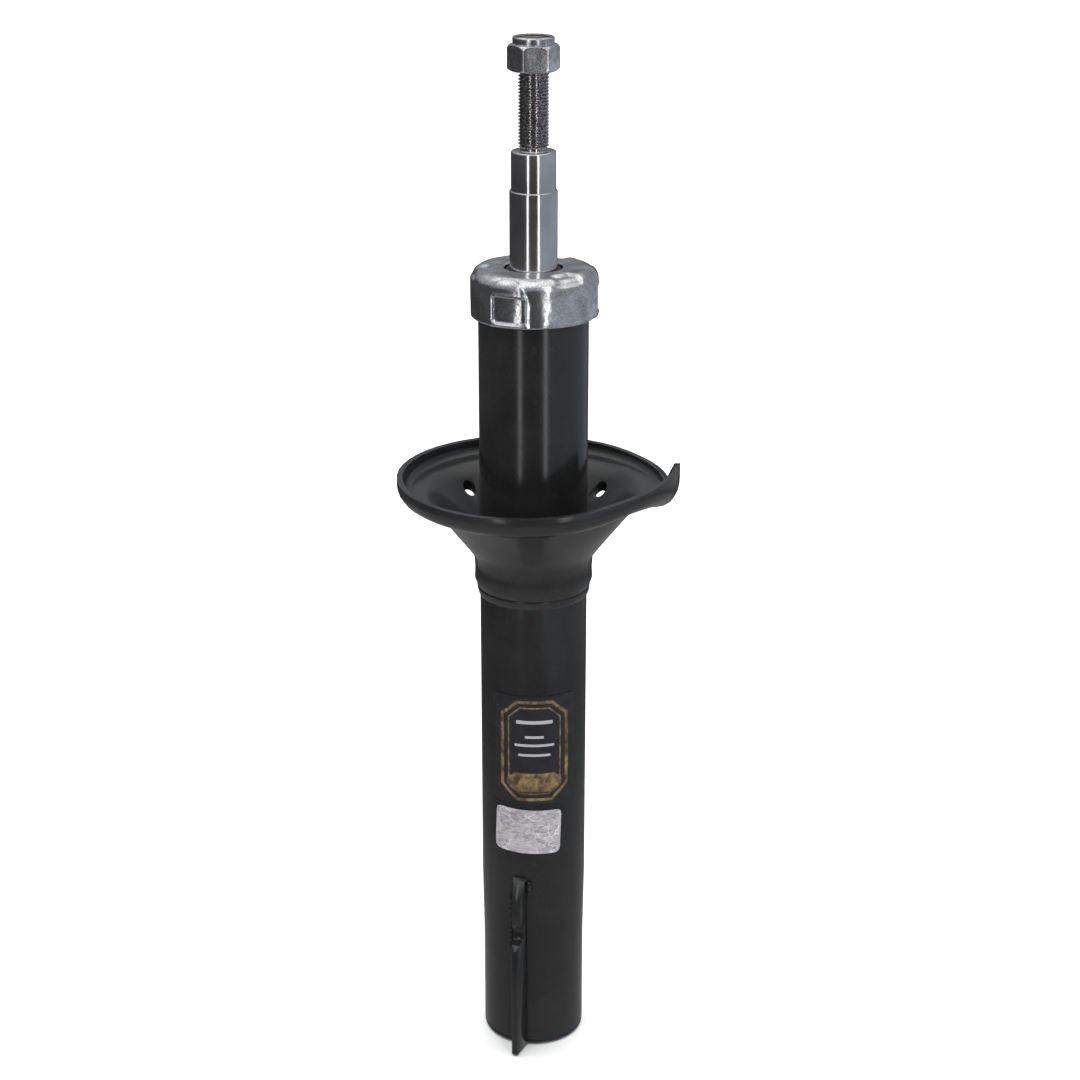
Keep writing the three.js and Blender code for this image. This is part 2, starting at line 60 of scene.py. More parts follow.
class Nodes:
    """A short way to wire a node tree: each call adds a node and returns its first output."""

    def __init__(self, tree):
        self.tree = tree

    def add(self, kind, inputs=None, output=0, **settings):
        node = self.tree.nodes.new(kind)
        for name, value in settings.items():
            setattr(node, name, value)
        for name, value in (inputs or {}).items():
            self.put(node.inputs[name], value)
        return node.outputs[output]

    def put(self, socket, value):
        if isinstance(value, bpy.types.NodeSocket):
            self.tree.links.new(value, socket)
        else:
            socket.default_value = value

    def math(self, operation, *values):
        return self.add("ShaderNodeMath", dict(enumerate(values)), operation=operation)

    def noise(self, vector, scale, detail=2.0, rough=0.5, distortion=0.0):
        inputs = {"Vector": vector, "Scale": scale, "Detail": detail, "Roughness": rough}
        inputs["Distortion"] = distortion
        return self.add("ShaderNodeTexNoise", inputs)

    def remap(self, value, low, high, to_low=0.0, to_high=1.0):
        inputs = {"Value": value, "From Min": low, "From Max": high, "To Min": to_low, "To Max": to_high}
        return self.add("ShaderNodeMapRange", inputs, interpolation_type="SMOOTHSTEP")

    def mix(self, factor, a, b):
        node = self.tree.nodes.new("ShaderNodeMix")
        node.data_type = "RGBA"
        self.put(node.inputs["Factor"], factor)
        self.put(node.inputs[6], a)
        self.put(node.inputs[7], b)
        return node.outputs[2]

    def bump(self, height, strength, distance, normal=None):
        inputs = {"Height": height, "Strength": strength, "Distance": distance}
        if normal is not None:
            inputs["Normal"] = normal
        return self.add("ShaderNodeBump", inputs)

    def stretched(self, vector, scale):
        return self.add("ShaderNodeVectorMath", {0: vector, 1: scale}, operation="MULTIPLY")


def grey(value):
    return (value, value, value, 1.0)


def material(name, build, metallic=0.0):
    """A material that build(nodes, place, wire) wires up, where place is the position in the row frame."""
    made = bpy.data.materials.new(name)
    made.use_nodes = True
    tree = made.node_tree
    tree.nodes.clear()
    shader = tree.nodes.new("ShaderNodeBsdfPrincipled")
    shader.inputs["Metallic"].default_value = metallic
    output = tree.nodes.new("ShaderNodeOutputMaterial")
    tree.links.new(shader.outputs[0], output.inputs[0])
    nodes = Nodes(tree)
    place = nodes.add("ShaderNodeTexCoord", output=3)

    def wire(**sockets):
        for name, value in sockets.items():
            nodes.put(shader.inputs[name.replace("_", " ")], value)

    build(nodes, place, wire)
    return made


# ---------------------------------------------------------------- materials


def black_paint(n, place, wire):
    """Stoved black enamel: soft orange peel, a little dust and handling haze."""
    haze = n.noise(place, 22, 4, 0.6)
    grain = n.noise(place, 900, 3, 0.6)
    dust = n.remap(n.noise(place, 130, 5, 0.7), 0.6, 0.8)
    base = n.mix(n.remap(haze, 0.35, 0.7), (0.0115, 0.0117, 0.0122, 1), (0.018, 0.0183, 0.019, 1))
    base = n.mix(n.math("MULTIPLY", dust, 0.25), base, grey(0.06))
    roughness = n.math("ADD", n.remap(haze, 0.3, 0.7, 0.15, 0.21), n.math("MULTIPLY", grain, 0.05))
    peel = n.bump(n.noise(place, 260, 2, 0.5), 0.2, 0.0001)
    normal = n.bump(grain, 0.12, 0.00004, peel)
    wire(Base_Color=base, Roughness=roughness, Normal=normal)


def zinc_plate(bright, dull, rough, dents=0.3):
    """Bright zinc over a rolled or pressed surface: cloudy, speckled, dented, with fine scratches."""

    def build(n, place, wire):
        cloud = n.noise(place, 75, 5, 0.65, 0.6)
        speckle = n.noise(place, 1100, 3, 0.7)
        scratch = n.noise(n.stretched(place, (1, 1, 9)), 420, 3, 0.7)
        mottle = n.math("ADD", n.remap(cloud, 0.32, 0.68, 0, 0.65), n.remap(speckle, 0.42, 0.66, 0, 0.5))
        base = n.mix(mottle, dull, bright)
        polish = n.remap(cloud, 0.3, 0.75, rough + 0.08, rough)
        roughness = n.math("ADD", polish, n.math("MULTIPLY", scratch, 0.1))
        ripple = n.bump(n.noise(place, 120, 2, 0.5), dents, 0.0006)
        grain = n.bump(n.noise(place, 420, 3, 0.6), 0.25, 0.00012, ripple)
        wire(Base_Color=base, Roughness=roughness, Normal=n.bump(speckle, 0.35, 0.00004, grain))

    return build


# Where the rod's chrome gives way to the darker thread: inside these radii, above these heights, in metres.
STUD_RADII = (0.0071, 0.0074)
STUD_HEIGHTS = (0.4512, 0.4514)


def hard_chrome(n, place, wire):
    """Ground and chromed: fine rings round the rod, a few dull patches, and a darker, rolled thread."""
    split = n.tree.nodes.new("ShaderNodeSeparateXYZ")
    n.put(split.inputs[0], place)
    x, y, z = split.outputs
    radius = n.math("SQRT", n.math("ADD", n.math("MULTIPLY", x, x), n.math("MULTIPLY", y, y)))
    stud = n.math("MULTIPLY", n.remap(radius, *STUD_RADII, 1.0, 0.0), n.remap(z, *STUD_HEIGHTS))
    rings = n.noise(n.stretched(place, (0.15, 0.15, 1)), 4000, 2, 0.6)
    film = n.noise(place, 40, 3, 0.6)
    speckle = n.noise(place, 1500, 3, 0.7)
    base = n.mix(n.remap(film, 0.35, 0.7), (0.52, 0.515, 0.53, 1), (0.63, 0.625, 0.65, 1))
    thread = n.mix(n.remap(speckle, 0.4, 0.62), (0.13, 0.12, 0.125, 1), (0.72, 0.69, 0.70, 1))
    roughness = n.math("ADD", n.remap(film, 0.35, 0.75, 0.12, 0.17), n.math("MULTIPLY", rings, 0.04))
    wire(Base_Color=n.mix(stud, base, thread), Roughness=roughness, Normal=n.bump(rings, 0.06, 0.00002))


def plain_metal(colour, rough):
    """Turned, ground or sintered metal inside the strut, with an oil film."""

    def build(n, place, wire):
        grain = n.noise(place, 700, 3, 0.6)
        base = n.mix(n.remap(grain, 0.3, 0.7), [0.8 * c for c in colour[:3]] + [1], colour)
        roughness = n.math("ADD", rough, n.math("MULTIPLY", grain, 0.12))
        wire(Base_Color=base, Roughness=roughness, Normal=n.bump(grain, 0.2, 0.00005))

    return build


def moulded(colour, rough):
    """Rubber or plastic with a fine matt skin."""

    def build(n, place, wire):
        grain = n.noise(place, 1400, 2, 0.5)
        blotch = n.remap(n.noise(place, 90, 3, 0.5), 0.35, 0.7)
        base = n.mix(blotch, colour, [1.5 * c for c in colour[:3]] + [1])
        roughness = n.math("ADD", rough, n.math("MULTIPLY", grain, 0.12))
        wire(Base_Color=base, Roughness=roughness, Normal=n.bump(grain, 0.25, 0.00004))

    return build


# The printed frame of the larger label, in millimetres: its centre [x, z], half its size and its cut corners.
PRINT = {"centre": (0.4, 165.2), "half": (16.2, 26.6), "corner": 7.5, "line": 1.5, "gap": 1.5}
# Plain bars where lines of print would be, and a plain band: centre [x, z], half the size and cut corners.
BARS = [
    ((0.4, 180.6), (8.8, 0.9), 0.3),
    ((0.4, 172.8), (4.6, 0.65), 0.3),
    ((0.4, 168.4), (9.6, 0.65), 0.3),
    ((0.4, 163.2), (7.8, 0.65), 0.3),
]
BAND = ((0.4, 148.4), (13.2, 5), 3.5)


def printed_film(n, place, wire):
    """Black film with a gold double frame, plain white bars and a gold band, and no lettering."""
    split = n.tree.nodes.new("ShaderNodeSeparateXYZ")
    n.put(split.inputs[0], n.stretched(place, (1000, 1000, 1000)))
    x, z = split.outputs[0], split.outputs[2]

    def away(value, centre):
        return n.math("ABSOLUTE", n.math("SUBTRACT", value, centre))

    def inside(distance):
        return n.remap(distance, -0.1, 0.1, 1.0, 0.0)

    def box_distance(centre, half, cut):
        dx = n.math("SUBTRACT", away(x, centre[0]), half[0])
        dz = n.math("SUBTRACT", away(z, centre[1]), half[1])
        diagonal = n.math("MULTIPLY", n.math("ADD", n.math("ADD", dx, dz), cut), 0.7071)
        return n.math("MAXIMUM", n.math("MAXIMUM", dx, dz), diagonal)

    outer = box_distance(PRINT["centre"], PRINT["half"], PRINT["corner"])
    line, gap = PRINT["line"], PRINT["gap"]
    first = inside(n.math("SUBTRACT", away(outer, -line / 2), line / 2))
    second = inside(n.math("SUBTRACT", away(outer, -1.5 * line - gap), line / 4))
    band = inside(box_distance(*BAND))
    gold = n.math("MAXIMUM", n.math("MAXIMUM", first, second), band)
    white = inside(box_distance(*BARS[0]))
    for bar in BARS[1:]:
        white = n.math("MAXIMUM", white, inside(box_distance(*bar)))
    worn = n.remap(n.noise(place, 420, 4, 0.75), 0.36, 0.60, 0.3, 1.0)
    shade = n.noise(place, 170, 3, 0.6)
    gold_colour = n.mix(n.remap(shade, 0.35, 0.65), (0.10, 0.048, 0.016, 1), (0.25, 0.16, 0.055, 1))
    film = n.mix(n.remap(shade, 0.3, 0.7), (0.011, 0.0112, 0.0125, 1), (0.016, 0.0162, 0.018, 1))
    base = n.mix(n.math("MULTIPLY", gold, worn), film, gold_colour)
    base = n.mix(n.math("MULTIPLY", white, 0.85), base, grey(0.42))
    roughness = n.math("ADD", n.math("MULTIPLY", gold, 0.08), 0.34)
    wire(Base_Color=base, Roughness=roughness, Normal=n.bump(shade, 0.1, 0.0001))


def foil(n, place, wire):
    """Silvered film, crumpled when it was stuck on: facets in different greys that are painted shade and
    painted reflection, and bumped creases with a painted highlight along them.
    """
    drift = n.add("ShaderNodeTexNoise", {"Vector": place, "Scale": 130.0, "Detail": 4.0}, output=1)
    push = n.stretched(drift, (0.007, 0.007, 0.007))
    moved = n.add("ShaderNodeVectorMath", {0: place, 1: push}, operation="ADD")
    facets = n.stretched(moved, (1, 1, 1.5))
    cell = n.add("ShaderNodeTexVoronoi", {"Vector": facets, "Scale": 170.0}, output=1)
    edge = n.add("ShaderNodeTexVoronoi", {"Vector": facets, "Scale": 170.0}, feature="DISTANCE_TO_EDGE")
    # Each facet's grey comes from its cell's random colour. This is painted shade and painted reflection,
    # standing in for the light that a tilted facet would catch.
    facet_shade = n.tree.nodes.new("ShaderNodeSeparateXYZ")
    n.put(facet_shade.inputs[0], cell)
    streaks = n.noise(n.stretched(place, (1, 1, 3.2)), 260, 4, 0.7, 1.5)
    patch = n.remap(n.noise(place, 140, 3, 0.6), 0.45, 0.6)
    # The crease mask raises a bump, and it also lightens the colour along the creases as a painted highlight.
    crease_and_highlight = n.math("MULTIPLY", n.remap(edge, 0.0, 0.06, 1.0, 0.0), patch)
    tone = n.mix(facet_shade.outputs[0], (0.22, 0.215, 0.24, 1), (0.44, 0.415, 0.43, 1))
    tone = n.mix(n.remap(streaks, 0.40, 0.62, 0.0, 0.85), tone, (0.56, 0.53, 0.54, 1))
    # The pale colour mixed in along the creases is a painted highlight.
    base = n.mix(n.math("MULTIPLY", crease_and_highlight, 0.8), tone, (0.86, 0.85, 0.84, 1))
    height = n.math("ADD", n.math("MULTIPLY", crease_and_highlight, 0.4), streaks)
    roughness = n.remap(streaks, 0.3, 0.7, 0.28, 0.45)
    wire(Base_Color=base, Roughness=roughness, Normal=n.bump(height, 0.5, 0.0003))


CAP_ZINC = zinc_plate((0.82, 0.83, 0.84, 1), (0.38, 0.39, 0.405, 1), 0.11, 0.6)
NUT_ZINC = zinc_plate((0.84, 0.84, 0.86, 1), (0.25, 0.25, 0.262, 1), 0.15)
MATERIALS = {
    "black_paint": material("black_paint", black_paint),
    "cap_plating": material("cap_plating", CAP_ZINC, 1.0),
    "nut_plating": material("nut_plating", NUT_ZINC, 1.0),
    "rod_chrome": material("rod_chrome", hard_chrome, 1.0),
    "plain_steel": material("plain_steel", plain_metal((0.4, 0.4, 0.41, 1), 0.28), 1.0),
    "spring_steel": material("spring_steel", plain_metal((0.3, 0.32, 0.35, 1), 0.25), 1.0),
    "sintered_iron": material("sintered_iron", plain_metal((0.2, 0.21, 0.22, 1), 0.5), 1.0),
    "bronze": material("bronze", plain_metal((0.45, 0.3, 0.13, 1), 0.35), 1.0),
    "seal_rubber": material("seal_rubber", moulded((0.012, 0.012, 0.013, 1), 0.45)),
    "band_plastic": material("band_plastic", moulded((0.2, 0.14, 0.07, 1), 0.4)),
    "nylon": material("nylon", moulded((0.2, 0.185, 0.185, 1), 0.4)),
    "label_film": material("label_film", printed_film),
    "foil_film": material("foil_film", foil, 0.25),
}


# ---------------------------------------------------------------- CAD nodes

# Points closer than this, in metres, are one point, and edges shorter than that have collapsed.
MERGE = 1e-6
COLLAPSED = 1e-7
SMOOTH_ANGLE = 32


def shading_group(angle):
    """Geometry nodes that smooth a faceted mesh, except over edges sharper than the angle.

    They weld it and leave its own corner normals out, so the CAD mesh itself stays as it was packed.
    """
    group = bpy.data.node_groups.new("smooth_shading", "GeometryNodeTree")
    group.interface.new_socket("Geometry", in_out="INPUT", socket_type="NodeSocketGeometry")
    group.interface.new_socket("Geometry", in_out="OUTPUT", socket_type="NodeSocketGeometry")
    n = Nodes(group)
    source = n.add("NodeGroupInput")
    bare = n.add("GeometryNodeRemoveAttribute", {"Geometry": source, "Name": "custom_normal"})
    welded = n.add("GeometryNodeMergeByDistance", {"Geometry": bare, "Distance": MERGE})
    smooth = n.add("GeometryNodeSetShadeSmooth", {"Geometry": welded, "Shade Smooth": True}, domain="FACE")
    edge = n.add("GeometryNodeInputMeshEdgeAngle")
    sharp = n.add("FunctionNodeCompare", {0: edge, 1: math.radians(angle)}, operation="GREATER_THAN")
    inputs = {"Geometry": smooth, "Selection": sharp, "Shade Smooth": False}
    shaded = n.add("GeometryNodeSetShadeSmooth", inputs, domain="EDGE")
    sink = group.nodes.new("NodeGroupOutput")
    group.links.new(shaded, sink.inputs[0])
    return group


SHADING = shading_group(SMOOTH_ANGLE)


def smooth(piece):
    modifier = piece.modifiers.new("smooth", "NODES")
    modifier.node_group = SHADING


def soften(piece, width):
    """Welds a CAD mesh, joins its coplanar triangles and rounds its edges."""
    weld = piece.modifiers.new("weld", "WELD")
    weld.merge_threshold = MERGE
    flat = piece.modifiers.new("flat", "DECIMATE")
    flat.decimate_type = "DISSOLVE"
    flat.angle_limit = math.radians(0.4)
    bevel = piece.modifiers.new("bevel", "BEVEL")
    bevel.width = width
    bevel.segments = 2
    bevel.limit_method = "ANGLE"
    bevel.angle_limit = math.radians(35)


SOFT_EDGES = {"locating_key": 0.5 * MM, "base_cap": 0.3 * MM, "spring_seat": 0.7 * MM}

for entry in frame["record"]["subparts"]:
    node = frame["nodes"][entry["node"]]
    for slot in node.material_slots:
        slot.material = MATERIALS[entry["material_slot"]]
    if entry["node"] in SOFT_EDGES:
        soften(node, SOFT_EDGES[entry["node"]])
    smooth(node)


# ---------------------------------------------------------------- detailed pieces

# Lengths in this section are in millimetres, as in the CAD, and MM makes them metres. Angles are in degrees.


def ease(value, low, high):
    """0 below low and 1 above high, with a smooth change between."""
    t = min(1.0, max(0.0, (value - low) / (high - low)))
    return t * t * (3 - 2 * t)


def mix(a, b, t):
    return a + (b - a) * t


def arc(centre_r, centre_z, radius, start, end, steps):
    """Points of a rounded corner in an outline, by its centre, radius and two angles in degrees."""
    angles = [math.radians(mix(start, end, i / steps)) for i in range(steps + 1)]
    return [(centre_r + radius * math.cos(a), centre_z + radius * math.sin(a)) for a in angles]


def dense(outline, step):
    """The open outline with points added, so that none is further than step from the next."""
    made = []
    for (r0, z0), (r1, z1) in zip(outline, outline[1:]):
        count = max(1, math.ceil(math.hypot(r1 - r0, z1 - z0) / step))
        made += [(mix(r0, r1, i / count), mix(z0, z1, i / count)) for i in range(count)]
    return made + [outline[-1]]


def at(radius, azimuth, z):
    a = math.radians(azimuth)
    return (radius * math.cos(a) * MM, radius * math.sin(a) * MM, z * MM)


def add_rings(made, outline, columns, warp=None, closed=True):
    """Turns an outline of [radius, z] about Z and adds it; warp(radius, z, azimuth) can move its points."""
    rings = []
    for r, z in outline:
        ring = []
        for i in range(columns):
            azimuth = 360 * i / columns
            moved = warp(r, z, azimuth) if warp else (r, z)
            ring.append(made.verts.new(at(moved[0], azimuth, moved[1])))
        rings.append(ring)
    pairs = list(zip(rings, rings[1:])) + ([(rings[-1], rings[0])] if closed else [])
    for low, high in pairs:
        for i in range(columns):
            j = (i + 1) % columns
            made.faces.new((low[i], low[j], high[j], high[i]))


def finished(name, made, body, slot, replaced, angle):
    """Closes a bmesh up as a piece that stands for CAD nodes."""
    bmesh.ops.remove_doubles(made, verts=made.verts, dist=MERGE)
    bmesh.ops.dissolve_degenerate(made, edges=made.edges, dist=COLLAPSED)
    bmesh.ops.recalc_face_normals(made, faces=made.faces)
    mesh = bpy.data.meshes.new(name)
    made.to_mesh(mesh)
    made.free()
    mesh.shade_smooth()
    mesh.set_sharp_from_angle(angle=math.radians(angle))
    mesh.materials.append(MATERIALS[slot])
    piece = bpy.data.objects.new(name, mesh)
    bpy.context.scene.collection.objects.link(piece)
    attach(piece, body)
    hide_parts(*replaced)
    return piece


# The rod's M14x1.5 thread, its form as [share of a pitch, share of the depth], and the rod's turned outline.
THREAD = {"crest": 6.98, "root": 6.06, "pitch": 1.5, "bottom": 452.1, "top": 499.5, "chamfer": 1.1}
THREAD_FORM = [(-0.11, 0.05), (0.0, 0.0), (0.11, 0.05), (0.41, 0.95), (0.5, 1.0), (0.59, 0.95)]
ROD_OUTLINE = [
    (0.0, 63), (5.2, 63), (6, 63.8), (6, 98), (11, 98),
    (11, 432.7), (10.9, 433.1), (10.6, 433.35), (10.25, 433.4),
    (10.25, 450.3), (10.15, 450.7), (9.9, 451), (9.5, 451.1),
    (6.28, 451.1), (THREAD["root"], 451.4), (THREAD["root"], THREAD["bottom"]),
]
ROD_COLUMNS = 72


def add_thread(made):
    """A ridge that climbs one pitch a turn, faded out over its first turn and chamfered at its top."""
    pitch, low, high = THREAD["pitch"], THREAD["bottom"], THREAD["top"]
    turns = math.ceil((high - low) / pitch) + 2
    form = len(THREAD_FORM)
    columns = []
    for i in range(ROD_COLUMNS):
        column = []
        for k in range(turns):
            for share, depth in THREAD_FORM:
                z = min(high, max(low, low + pitch * (i / ROD_COLUMNS + k - 1 + share)))
                crest = min(THREAD["crest"], THREAD["crest"] - THREAD["chamfer"] + (high - z))
                radius = mix(crest, THREAD["root"], depth) if crest > THREAD["root"] else crest
                radius = mix(THREAD["root"], radius, ease(z, low, low + pitch))
                column.append(made.verts.new(at(radius, 360 * i / ROD_COLUMNS, z)))
        columns.append(column)
    for i in range(ROD_COLUMNS):
        here, there = columns[i], columns[(i + 1) % ROD_COLUMNS]
        shift = form if i == ROD_COLUMNS - 1 else 0
        for j in range(len(here) - 1 - shift):
            made.faces.new((here[j], there[j + shift], there[j + 1 + shift], here[j + 1]))


def add_rod():
    made = bmesh.new()
    add_rings(made, ROD_OUTLINE, ROD_COLUMNS, closed=False)
    add_thread(made)
    end = THREAD["crest"] - THREAD["chamfer"]
    add_rings(made, [(end, THREAD["top"]), (0.0, THREAD["top"])], ROD_COLUMNS, closed=False)
    finished("rod_with_thread", made, "rod", "rod_chrome", ["piston_rod"], 40)


NUT = {
    "flats": 21.0, "turn": 36.5, "bore": 7.18, "seat": 8.6, "columns": 180,
    "bottom": 486.4, "seat_floor": 497.3, "hex_top": 498.2, "top": 501.6,
}
# Outside this radius the nut is a hexagon; the corners' sharpness and how softly its faces meet the chamfers.
NUT_HEX = {"from": 9.3, "corners": 45, "soft": 0.1}


def add_nut():
    """A cold-formed lock nut: hexagon faces that end in curves against the cones of its chamfers."""
    flats, bottom, hex_top, top = NUT["flats"] / 2, NUT["bottom"], NUT["hex_top"], NUT["top"]
    bore, seat, floor = NUT["bore"], NUT["seat"], NUT["seat_floor"]
    corners, soft = NUT_HEX["corners"], NUT_HEX["soft"]

    def warp(r, z, azimuth):
        if r < NUT_HEX["from"]:
            return (r, z)
        faces = [math.cos(math.radians(azimuth - NUT["turn"] - 60 * k)) for k in range(6)]
        flat = flats / (math.log(sum(math.exp(corners * face) for face in faces)) / corners)
        return (-soft * math.log(math.exp(-r / soft) + math.exp(-flat / soft)), z)

    chamfer = [(9.8, bottom), (10.6, bottom + 0.3), (12.5, bottom + 1.6)]
    crown = [(12.5, hex_top - 2.2), (11.6, hex_top - 1.0), (10.95, hex_top - 0.25), (10.4, hex_top)]
    collar = [(9.8, hex_top + 0.05), (9.35, hex_top + 0.35), (9.42, top - 1.5)]
    edge = [*arc(8.55, top - 0.9, 0.9, 0, 90, 5), (8.3, top), (8.15, top - 0.1), (8.1, top - 0.4)]
    inside = [(seat, top - 1), (seat, floor), (bore, floor), (bore, bottom + 0.9)]
    outline = [(bore + 1, bottom), *dense(chamfer, 0.3), *dense(crown, 0.25), *collar, *edge, *inside]
    made = bmesh.new()
    add_rings(made, outline, NUT["columns"], warp)
    finished("flanged_lock_nut", made, "nut", "nut_plating", ["lock_nut"], 50)


CAP = {"radius": 29.1, "sheet": 2.0, "top": 398.2, "height": 22.5, "bend": 5.5, "hole": 13.4, "columns": 288}
# The azimuths of the lugs and vents. Their relief is measured round the cap, and up along its outline.
CAP_LUGS = [4, 124, 246]
CAP_VENTS = [67, 187, 308]
LUG = {"half_width": 9.6, "straight": 9, "rounded": 14.5, "rise": 0.75, "fades": (19, 24)}
WINDOW = {"middle": 8.6, "half_width": 6.0, "half_height": 4.6, "corner": 1.6, "depth": 1.1, "lip": 0.35}
VENT = {
    "radius": 25, "depth": 1.25,
    "left": (-9.5, -4), "right": (5.0, 6.4), "foot": (17.5, 20.5), "head": (27, 31),
}
DENTS = {"depth": 0.22, "per_metre": 90, "flat_until": 18}
# The radius that the cap's inside keeps to, clear of the tube.
TUBE_CLEAR = 25.9


def turn_from(azimuth, centre):
    """How far an azimuth is from a centre, from -180 to 180 degrees."""
    return (azimuth - centre + 180) % 360 - 180


def lug_relief(run, across):
    """A lug with a rounded head, and the window pressed into it, whose edge has a raised lip."""
    narrowing = max(0.0, run - LUG["straight"]) / LUG["rounded"]
    spread = LUG["half_width"] * math.sqrt(max(0.0, 1 - narrowing ** 2))
    pad = 1 - ease(abs(across) - spread, -1.4, 1.6)
    pad *= 1 - ease(run, *LUG["fades"])
    beside = max(0.0, abs(across) - WINDOW["half_width"])
    above = max(0.0, abs(run - WINDOW["middle"]) - WINDOW["half_height"])
    corner = math.hypot(beside, above) - WINDOW["corner"]
    window = 1 - ease(corner, -0.35, 0.45)
    lip = (1 - ease(abs(corner - 0.75), 0.1, 0.7)) * pad
    return LUG["rise"] * pad - WINDOW["depth"] * window + WINDOW["lip"] * lip


def vent_relief(run, across):
    """A shallow channel that crosses the cap's shoulder."""
    side = (1 - ease(across, *VENT["right"])) * ease(across, *VENT["left"])
    return -VENT["depth"] * side * ease(run, *VENT["foot"]) * (1 - ease(run, *VENT["head"]))


def cap_relief(run, azimuth):
    """How far the pressing stands out at a distance along its outline from its lower edge."""
    lift = 0.0
    for centre in CAP_LUGS:
        lift += lug_relief(run, math.radians(turn_from(azimuth, centre)) * CAP["radius"])
    for centre in CAP_VENTS:
        lift += vent_relief(run, math.radians(turn_from(azimuth, centre)) * VENT["radius"])
    return lift


def add_cap():
    """The plated pressing: three lugs with windows pressed into them, and three vents across its shoulder."""
    radius, sheet, top, bend, hole = CAP["radius"], CAP["sheet"], CAP["top"], CAP["bend"], CAP["hole"]
    bottom = top - CAP["height"]
    centre_r, centre_z = radius - bend, top - bend

    def run_of(r, z):
        if z <= centre_z:
            return z - bottom
        if r <= centre_r:
            return centre_z - bottom + bend * math.pi / 2 + centre_r - r
        return centre_z - bottom + bend * math.atan2(z - centre_z, r - centre_r)

    def warp(r, z, azimuth):
        run = run_of(r, z)
        spot = Vector(at(r, azimuth, z)) * DENTS["per_metre"]
        lift = cap_relief(run, azimuth)
        lift += DENTS["depth"] * noise.noise(spot) * ease(r, hole, DENTS["flat_until"])
        out = min(1.0, max(0.0, (r - centre_r) / bend))
        up = min(1.0, max(0.0, (z - centre_z) / bend))
        size = math.hypot(out, up) or 1.0
        lift *= ease(r, hole, hole + 3)
        return (max(r + lift * out / size, TUBE_CLEAR if z < top - 3 else 0.0), z + lift * up / size)

    outer = [(radius, bottom + 0.5), *arc(centre_r, centre_z, bend, 0, 90, 12), (hole + 0.4, top)]
    inner = [(hole + 0.4, top - sheet), *arc(centre_r, centre_z, bend - sheet, 90, 0, 6)]
    inner.append((radius - sheet, bottom + 0.5))
    rim = [(hole, top - 0.4), (hole, top - sheet + 0.4)]
    foot = [(radius - sheet + 0.5, bottom), (radius - 0.5, bottom)]
    made = bmesh.new()
    add_rings(made, dense(outer, 0.55) + rim + dense(inner, 1.1) + foot, CAP["columns"], warp)
    finished("pressed_bump_cap", made, "barrel", "cap_plating", ["bump_cap"], 60)


BEAD_COLUMNS = 360
# The seat's weld lies against the taper at the foot of its neck, and the base's weld round the lower end.
SEAT_BEAD = [
    (25.9, 238.9), (26.15, 239.1), (26.5, 240), (26.75, 241), (26.95, 242), (27.08, 242.9),
    (26.98, 243.15), (26.85, 242.9), (26.5, 242.2), (26.25, 241.5), (25.9, 241.4),
]
BASE_BEAD = [(23.1, 0.3), (24.1, 0.25), (24.7, 0.7), (24.95, 1.4), (24.7, 2.1), (23.1, 2.1)]


def add_bead(name, outline, replaced, ripples, depth):
    """A weld bead turned about the axis, with the ripples that the torch leaves."""
    inner = min(point[0] for point in outline)
    top = max(point[1] for point in outline)

    def warp(r, z, azimuth):
        spot = Vector(at(r, azimuth, z)) * 160
        wave = math.sin(math.radians(azimuth * ripples + 70 * noise.noise(spot)))
        share = ease(r, inner, inner + 0.6) * ease(top - z, 0.8, 1.8)
        return (r + depth * share * (0.5 * wave + noise.noise(spot)), z)

    made = bmesh.new()
    add_rings(made, outline, BEAD_COLUMNS, warp)
    finished(name, made, "barrel", "black_paint", replaced, 60)


KEY_AZIMUTH = 255
# The runs beside the key: where they lie from the tube's axis and the key's middle, and how far they swell.
KEY_WELD = {"sides": 14, "step": 0.6, "bed": 25.85, "root": 25.2, "beside": 4.55, "out": 0.85, "across": 1.25}


def add_key_weld(name, side, low, high, replaced):
    """A run of weld beside the key: overlapping blobs, lumpy where the torch paused."""
    made = bmesh.new()
    sides, bed = KEY_WELD["sides"], KEY_WELD["bed"]
    steps = int((high - low) / KEY_WELD["step"])
    rings = []
    for i in range(steps + 1):
        z = mix(low, high, i / steps)
        taper = math.sqrt(max(0.02, 1 - (2 * i / steps - 1) ** 4))
        swell = 0.8 + 0.3 * math.sin(z * 1.15 + 2 * noise.noise(Vector((z * 0.3, side, 0)))) ** 2
        ring = []
        for k in range(sides):
            a = 2 * math.pi * k / sides
            out = 1.05 + KEY_WELD["out"] * math.cos(a) * swell * taper
            across = KEY_WELD["beside"] + KEY_WELD["across"] * math.sin(a) * swell * taper
            across -= 0.25 * math.cos(a)
            radius = math.hypot(bed, across) - bed + KEY_WELD["root"] + out
            azimuth = KEY_AZIMUTH + side * math.degrees(math.atan2(across, bed))
            ring.append(made.verts.new(at(radius, azimuth, z)))
        rings.append(ring)
    for one, other in zip(rings, rings[1:]):
        for k in range(sides):
            m = (k + 1) % sides
            made.faces.new((one[k], one[m], other[m], other[k]))
    made.faces.new(rings[0])
    made.faces.new(rings[-1])
    finished(name, made, "barrel", "black_paint", replaced, 70)


def add_check_spring(node, body):
    """A check spring's coil: a smoothed copy of its CAD mesh, carried by its body in place of the node."""
    piece = bpy.data.objects.new(node + "_coil", frame["nodes"][node].data.copy())
    bpy.context.scene.collection.objects.link(piece)
    smooth(piece)
    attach(piece, body)
    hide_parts(node)
    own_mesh(piece)


